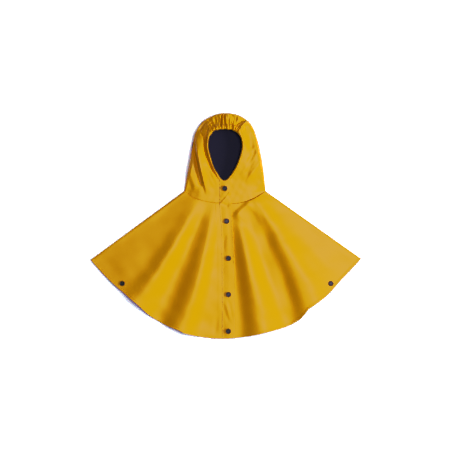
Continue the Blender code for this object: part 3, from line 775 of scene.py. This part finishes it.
def casing_edges(gap=0.0):
    """The face opening, and the casing's seam round it."""
    shares = ring_shares()
    opening = spline(OPENING, shares, closed=True)
    along = (spline(OPENING, (shares + RING_NUDGE) % 1.0, closed=True)
             - spline(OPENING, (shares - RING_NUDGE) % 1.0, closed=True))
    outward = np.stack([-along[:, 1], along[:, 0]], axis=-1)
    outward /= np.linalg.norm(outward, axis=1)[:, None]
    low, high = CASING_WIDENS
    growth = smooth((opening[:, 1] - low) / (high - low))
    width = CASING_SIDE_WIDTH + (CASING_TOP_WIDTH - CASING_SIDE_WIDTH) * growth
    return opening, opening + outward * (width + gap)[:, None]


def hood_side(name, side, finishes):
    """A hood panel, from the centre front and the casing round to the back seam."""
    seam = casing_edges(SEAM_HALF)[1]
    shoulder, corner_x, crown_x, back_x = (
        (RIGHT_SHOULDER, HOOD_OUTLINE[0][0], CROWN_SEAM_X[0], BACK_SEAM_X[0]) if side < 0 else
        (LEFT_SHOULDER, HOOD_OUTLINE[-1][0], CROWN_SEAM_X[1], BACK_SEAM_X[1]))
    beside_face = seam[:RING_SIDE_STEPS + 1] if side < 0 else seam[:-RING_SIDE_STEPS - 2:-1]
    beside_face = beside_face + (side * SEAM_HALF, 0.0)
    neck = np.array(polar(CENTRE_FRONT, neck_radius(CENTRE_FRONT))) + (side * SEAM_HALF, 0.0)
    chin = neck + (beside_face[0] - neck) * np.linspace(0, 1, CHIN_STEPS, endpoint=False)[:, None]
    inner = np.concatenate([chin, beside_face])
    inner[-1, 0] += side * SEAM_HALF
    shares = np.linspace(outline_share(corner_x), outline_share(crown_x), len(inner))
    outline = spline(HOOD_OUTLINE, shares)
    outline[-1, 0] += side * SEAM_HALF
    back_neck = np.array((back_x + side * SEAM_HALF, BACK_NECK_Y))
    down_seam = back_neck - outline[-1]
    crown_end = outline[-1] + down_seam * CROWN_WRAP / np.linalg.norm(down_seam)
    back_edge = back_neck + (crown_end - back_neck) * np.linspace(0, 1, len(inner))[:, None]

    def neck_side(u):
        angle = shoulder + (CENTRE_FRONT - shoulder) * u
        plan = np.stack(polar(angle, neck_radius(angle)), axis=-1)
        plan[:, 0] += side * SEAM_HALF * u
        return plan

    grid = wrapped(inner, outline, back_edge, neck_side)
    return shell(name, grid if side < 0 else grid[::-1], CLOTH, finishes)


def hood_gusset(name, finishes):
    inner = casing_edges(SEAM_HALF)[1][RING_SIDE_STEPS:RING_SIDE_STEPS + RING_TOP_STEPS + 1]
    ends = [outline_share(x) for x in CROWN_SEAM_X]
    outline = spline(HOOD_OUTLINE, np.linspace(*ends, len(inner)))
    back_edge = np.stack([np.linspace(*BACK_SEAM_X, len(inner)),
                          np.full(len(inner), BACK_NECK_Y)], axis=-1)
    return shell(name, wrapped(inner, outline, back_edge), CLOTH, finishes)


def casing(name, finishes):
    opening, seam = casing_edges()
    outward = (seam - opening) / np.linalg.norm(seam - opening, axis=1)[:, None]
    gathered = smooth((opening[:, 1] - CROWN_FROM) / CASING_RIPPLE_OVER)
    ripple = waves(opening[:, 0], opening[:, 1], CASING_RIPPLE_LENGTH, CASING_RIPPLE_SEED)
    opening = opening + outward * (CASING_RIPPLE * gathered * ripple)[:, None]
    opening, seam = opening[:-1, None], seam[:-1, None]
    across = np.linspace(0, 1, CASING_COLUMNS)
    grid = raised(opening + (seam - opening) * across[None, :, None], hood_surface)
    above_placket = smooth((opening[..., 1] - PLACKET[0][0]) / CASING_RISE_LENGTH)
    lift = level(column(CASING_PROFILE, 0), column(CASING_PROFILE, 1), across)
    grid[..., 2] += np.where(lift > 0, lift * above_placket, lift)
    return shell(name, grid, CASING_CLOTH, finishes, ring=True)


def placket(name, finishes):
    low_face = spline(OPENING, np.linspace(-LOW_FACE, LOW_FACE, 41) % 1.0, closed=True)[::-1]
    angles = np.linspace(-PLACKET_HEM_ANGLE, PLACKET_HEM_ANGLE, 33)
    hem = np.stack(polar(angles, hem_radius(angles)), axis=-1)
    across = np.linspace(0, 1, PLACKET_COLUMNS + 1)

    def x_at(y):
        sewn, free = placket_edges(y)
        return sewn + (free - sewn) * across

    top = np.interp(x_at(PLACKET[0][0]), low_face[:, 0], low_face[:, 1]) - PLACKET_TOP_DROP
    bottom = np.interp(x_at(PLACKET[-1][0]), hem[:, 0], hem[:, 1])
    y = top + (bottom - top) * np.linspace(0, 1, PLACKET_ROWS)[:, None]
    grid = raised(np.stack([x_at(y), y], axis=-1), front_height)
    full = PLACKET_EDGE + (PLACKET_CLOTH - PLACKET_EDGE) * smooth(across / PLACKET_CREST)
    gap = PLACKET_GAP * (SEWN_GAP + (1 - SEWN_GAP) * smooth(across / GAP_FULL))
    grid[..., 2] += gap + full + relief(
        grid[..., 0], grid[..., 1], PLACKET_STEPS, PLACKET_DENTS)
    for edge, pull in ((across, SEWN_PULL), (1 - across, FREE_PULL)):
        inset = edge * (PLACKET[-1][2] - PLACKET[-1][1])
        grid[..., 2] -= pull * np.exp(-((inset - EDGE_STITCH) / PLACKET_PULL_WIDTH) ** 2)
    seams = []
    for inset in (EDGE_STITCH, -EDGE_STITCH):
        y_row = grid[STITCHED_ROWS, 0, 1]
        sewn, free = placket_edges(y_row)
        x_row = sewn + inset if inset > 0 else free + inset
        z_row = [np.interp(x, row[:, 0], row[:, 2]) for x, row in zip(x_row, grid[STITCHED_ROWS])]
        seams.append(np.stack([x_row, y_row, np.array(z_row) + THREAD_LIFT], axis=-1))
    return shell(name, grid, full, finishes, seams=seams)


def placket_top(x, y):
    return front_height(x, y) + PLACKET_GAP + PLACKET_CLOTH


def snap(name, place, height, finish):
    """A dished cap, seated square on the surface that a height function gives."""
    turns = np.linspace(0, 2 * math.pi, SNAP_SIDES, endpoint=False)
    rim = SNAP_RADIUS * np.stack([np.cos(turns), np.sin(turns)], axis=-1)
    z = height(place[0] + rim[:, 0], place[1] + rim[:, 1])
    slope = 2 * (rim * z[:, None]).mean(axis=0) / SNAP_RADIUS ** 2
    seat_z = (z - rim @ slope).max() - SNAP_SINK
    up = Vector((-slope[0], -slope[1], 1.0)).normalized()
    turn = np.array(Vector((0, 0, 1)).rotation_difference(up).to_matrix())
    profile = spline(SNAP_PROFILE, np.linspace(0, 1, SNAP_RINGS))
    points = [(0.0, 0.0, profile[0, 1])]
    for radius, lift in profile[1:]:
        points += [(radius * c, radius * s, lift) for c, s in zip(np.cos(turns), np.sin(turns))]
    points.append((0.0, 0.0, profile[-1, 1]))
    n = SNAP_SIDES
    faces = [(0, 1 + k, 1 + (k + 1) % n) for k in range(n)]
    for ring in range(len(profile) - 2):
        a, b = 1 + ring * n, 1 + (ring + 1) * n
        faces += [(a + k, b + k, b + (k + 1) % n, a + (k + 1) % n) for k in range(n)]
    last = 1 + (len(profile) - 2) * n
    faces += [(last + (k + 1) % n, last + k, len(points) - 1) for k in range(n)]
    points = (np.array(points) @ turn.T + (*place, seat_z)) * MM
    mesh = bpy.data.meshes.new(name)
    mesh.from_pydata(points, [], faces)
    mesh.materials.append(finish)
    mesh.shade_smooth()
    piece = bpy.data.objects.new(name, mesh)
    bpy.context.scene.collection.objects.link(piece)
    return piece


# Finishes

def shader_of(name, color, roughness):
    """A new finish, its node tree and its main shader."""
    made = bpy.data.materials.new(name)
    made.use_nodes = True
    shader = made.node_tree.nodes["Principled BSDF"]
    shader.inputs["Base Color"].default_value = (*color, 1.0)
    shader.inputs["Roughness"].default_value = roughness
    return made, made.node_tree, shader


def add_bump(tree, shader, pattern, strength, depth):
    bump = tree.nodes.new("ShaderNodeBump")
    bump.inputs["Strength"].default_value = strength
    bump.inputs["Distance"].default_value = depth * MM
    tree.links.new(pattern, bump.inputs["Height"])
    tree.links.new(bump.outputs["Normal"], shader.inputs["Normal"])


def object_noise(tree, across, detail):
    """Noise with grains about the given number of millimetres across."""
    place = tree.nodes.new("ShaderNodeTexCoord")
    noise = tree.nodes.new("ShaderNodeTexNoise")
    noise.inputs["Scale"].default_value = 1 / (across * MM)
    noise.inputs["Detail"].default_value = detail
    tree.links.new(place.outputs["Object"], noise.inputs["Vector"])
    return place, noise.outputs["Fac"]


def yellow_coat():
    """Smooth polyurethane coating with a very fine grain."""
    made, tree, shader = shader_of("yellow coating", (0.70, 0.395, 0.0), 0.37)
    shader.inputs["Specular IOR Level"].default_value = 0.14
    grain = object_noise(tree, 1.6, 3.0)[1]
    add_bump(tree, shader, grain, 0.25, 0.03)
    return made


def yellow_thread():
    return shader_of("yellow thread", (0.60, 0.33, 0.01), 0.6)[0]


def navy_knit():
    """Matt jersey with fine ribs that run up the cloth."""
    made, tree, shader = shader_of("navy knit", (0.0165, 0.0145, 0.031), 0.9)
    shader.inputs["Specular IOR Level"].default_value = 0.25
    place, fuzz = object_noise(tree, 0.9, 4.0)
    ribs = tree.nodes.new("ShaderNodeTexWave")
    ribs.bands_direction = "X"
    ribs.inputs["Scale"].default_value = BAND_WIDTH / (RIB_PITCH * MM)
    ribs.inputs["Distortion"].default_value = 1.5
    ribs.inputs["Detail"].default_value = 1.0
    tree.links.new(place.outputs["Object"], ribs.inputs["Vector"])
    both = tree.nodes.new("ShaderNodeMath")
    both.operation = "ADD"
    tree.links.new(ribs.outputs["Fac"], both.inputs[0])
    tree.links.new(fuzz, both.inputs[1])
    add_bump(tree, shader, both.outputs[0], 0.5, 0.15)
    return made


def snap_lacquer():
    return shader_of("navy lacquer", (0.009, 0.0115, 0.016), 0.36)[0]


# Light, floor and camera

def add_floor():
    made, _, shader = shader_of("pale floor", (0.88, 0.87, 0.98), 0.9)
    shader.inputs["Specular IOR Level"].default_value = 0.0
    mesh = bpy.data.meshes.new("floor")
    half = FLOOR_HALF
    mesh.from_pydata([(-half, -half, 0), (half, -half, 0), (half, half, 0), (-half, half, 0)],
                     [], [(0, 1, 2, 3)])
    mesh.materials.append(made)
    floor = bpy.data.objects.new("floor", mesh)
    floor.location.z = FLOOR_Z
    bpy.context.scene.collection.objects.link(floor)
    return floor


def add_light(name, zenith, turn, size, share, glossy=True, only=None):
    """A soft light that gives a level surface the named share of full light."""
    tilt, turn = math.radians(zenith), math.radians(turn)
    away = Vector((math.sin(tilt) * math.cos(turn), math.sin(tilt) * math.sin(turn),
                   math.cos(tilt)))
    lamp = bpy.data.lights.new(name, "AREA")
    lamp.shape = "DISK"
    lamp.size = size
    lamp.energy = share * (math.pi * LIGHT_DISTANCE) ** 2 / math.cos(tilt)
    thing = bpy.data.objects.new(name, lamp)
    thing.location = away * LIGHT_DISTANCE
    thing.rotation_euler = away.to_track_quat("Z", "Y").to_euler()
    thing.visible_glossy = glossy
    bpy.context.scene.collection.objects.link(thing)
    if only:
        thing.light_linking.receiver_collection = only


def add_lights(garment, ground):
    world = bpy.data.worlds.new("studio")
    bpy.context.scene.world = world
    world.use_nodes = True
    background = world.node_tree.nodes["Background"]
    background.inputs["Color"].default_value = (1.0, 1.0, 1.0, 1.0)
    background.inputs["Strength"].default_value = SKY_STRENGTH
    world.cycles_visibility.glossy = False
    add_light("overhead", *OVERHEAD, glossy=False)
    add_light("veil", *VEIL)
    add_light("key", *KEY, glossy=False, only=garment)
    add_light("floor light", *FLOOR_LIGHT, glossy=False, only=ground)


def add_camera():
    lens = bpy.data.cameras.new("camera")
    lens.lens = CAMERA_LENS_MM
    lens.sensor_width = CAMERA_SENSOR_MM
    camera = bpy.data.objects.new("camera", lens)
    height = CAMERA_FOCUS_Z + VIEW_WIDTH_MM * CAMERA_LENS_MM / CAMERA_SENSOR_MM
    camera.location = (CAMERA_PLACE[0] * MM, CAMERA_PLACE[1] * MM, height * MM)
    bpy.context.scene.collection.objects.link(camera)
    bpy.context.scene.camera = camera


def add_grade():
    view = bpy.context.scene.view_settings
    view.view_transform = "Standard"
    view.use_curve_mapping = True
    curves = view.curve_mapping
    for channel, points in GRADE.items():
        curve = curves.curves[channel]
        for point, place in zip(list(curve.points), (points[0], points[-1])):
            point.location = place
        for place in points[1:-1]:
            curve.points.new(*place)
        for point in curve.points:
            point.handle_type = "AUTO_CLAMPED"
    curves.update()


def stand_in(piece, node):
    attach(piece, "root")
    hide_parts(node)


def main():
    bpy.context.scene.cycles.use_light_tree = False  # some lights reach only some pieces
    add_grade()
    cloth, lacquer = (yellow_coat(), yellow_thread(), navy_knit()), snap_lacquer()
    garment, ground = (bpy.data.collections.new(name) for name in ("garment", "ground"))
    add_camera()
    ground.objects.link(add_floor())
    add_lights(garment, ground)
    cloths = (
        (front, "front_right", -1), (front, "front_left", 1), (hood_side, "hood_right", -1),
        (hood_side, "hood_left", 1), (hood_gusset, "hood_centre", None),
        (casing, "hood_casing", None), (placket, "placket", None), (back, "back_panel", None),
    )
    for make, node, side in cloths:
        arguments = (f"{node}_cloth",) + ((side,) if side else ())
        piece = make(*arguments, cloth)
        garment.objects.link(piece)
        stand_in(piece, node)
    for number, place in enumerate(FRONT_SNAPS, 1):
        node = f"snap_front_{number}"
        piece = snap(f"{node}_cap", place, placket_top, lacquer)
        garment.objects.link(piece)
        stand_in(piece, node)
    for side, place in SIDE_SNAPS.items():
        node = f"snap_side_{side}"
        piece = snap(f"{node}_cap", place, cape_height, lacquer)
        garment.objects.link(piece)
        stand_in(piece, node)


main()
